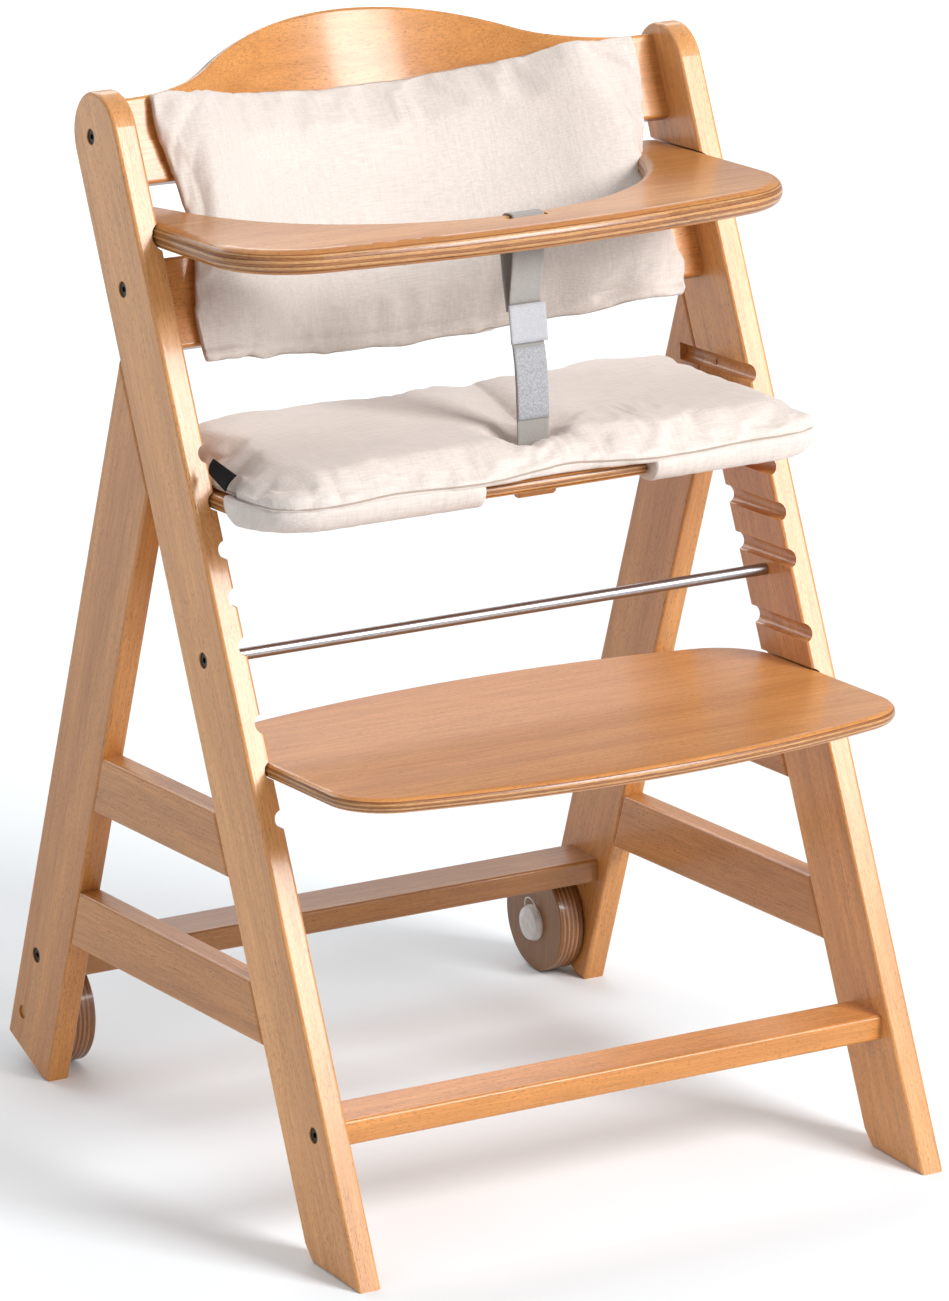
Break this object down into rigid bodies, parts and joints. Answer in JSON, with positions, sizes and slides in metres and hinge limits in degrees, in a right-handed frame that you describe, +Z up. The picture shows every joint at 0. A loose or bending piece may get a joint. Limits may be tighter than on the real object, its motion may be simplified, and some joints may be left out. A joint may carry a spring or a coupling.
{
  "type": "baby high chair",
  "caption": "Wooden baby high chair with A-shaped sides, sliding seat and foot boards, tray with crotch strap, rear wheels and a two-piece cushion set.",
  "frame": {"origin": "middle of the chair's footprint, on the floor", "axes": "+X to the right as seen from the front-facing camera side, +Y towards the back of the chair, +Z up; the child faces -Y"},
  "size_m": [0.47, 0.5544, 0.7727],
  "materials": {
    "beech": "satin lacquered solid beech",
    "plywood": "satin lacquered beech plywood with open ply edges",
    "wheel_ply": "lacquered plywood",
    "steel": "plain zinc-plated steel",
    "bolt": "burnished dark steel",
    "dowel_wood": "plain beech",
    "cap_plastic": "translucent white plastic",
    "cushion_fabric": "cream linen-look woven fabric over soft filling",
    "webbing": "light grey woven webbing",
    "hook_and_loop": "pale grey hook-and-loop tape",
    "label": "blank dark woven label"
  },
  "bodies": {
    "frame": {"upright_left": "beech", "upright_right": "beech", "rear_leg_left": "beech", "rear_leg_right": "beech", "lower_side_rail_left": "beech", "lower_side_rail_right": "beech", "upper_side_rail_left": "beech", "upper_side_rail_right": "beech", "wheel_axle_left": "steel", "wheel_axle_right": "steel", "wheel_washer_left": "steel", "wheel_washer_right": "steel", "axle_plug_left": "dowel_wood", "axle_plug_right": "dowel_wood", "front_cross_bar": "beech", "rear_cross_bar": "beech", "top_back_board": "plywood", "lower_back_board": "plywood", "clamping_rod": "steel", "back_board_bolts": "bolt", "cross_bar_bolts": "bolt", "rod_bolts": "bolt", "barrel_nuts": "steel", "threaded_inserts": "steel", "frame_dowels": "dowel_wood", "locating_dowels": "dowel_wood", "back_cushion": "cushion_fabric", "strap_flap": "hook_and_loop"},
    "seat": {"seat_board": "plywood", "seat_cushion": "cushion_fabric", "strap_lower": "webbing", "strap_retainer": "dowel_wood", "cushion_label": "label"},
    "footrest": {"footboard": "plywood"},
    "tray": {"tray": "plywood", "strap_upper": "webbing"},
    "wheel_left": {"wheel_left": "wheel_ply", "hub_cap_left": "cap_plastic"},
    "wheel_right": {"wheel_right": "wheel_ply", "hub_cap_right": "cap_plastic"}
  },
  "joints": [
    {"name": "seat_slide", "type": "slide", "parent": "frame", "child": "seat", "axis": [0, -0.9984, 0.0558], "range_m": [0, 0.04]},
    {"name": "footrest_slide", "type": "slide", "parent": "frame", "child": "footrest", "axis": [0, -0.9984, 0.0558], "range_m": [-0.05, 0.03]},
    {"name": "tray_slide", "type": "slide", "parent": "frame", "child": "tray", "axis": [0, -0.9984, 0.0558], "range_m": [0, 0.06]},
    {"name": "wheel_left_spin", "type": "hinge", "parent": "frame", "child": "wheel_left", "pos_m": [-0.2055, 0.236, 0.042], "axis": [1, 0, 0], "continuous": true},
    {"name": "wheel_right_spin", "type": "hinge", "parent": "frame", "child": "wheel_right", "pos_m": [0.2055, 0.236, 0.042], "axis": [1, 0, 0], "continuous": true}
  ]
}
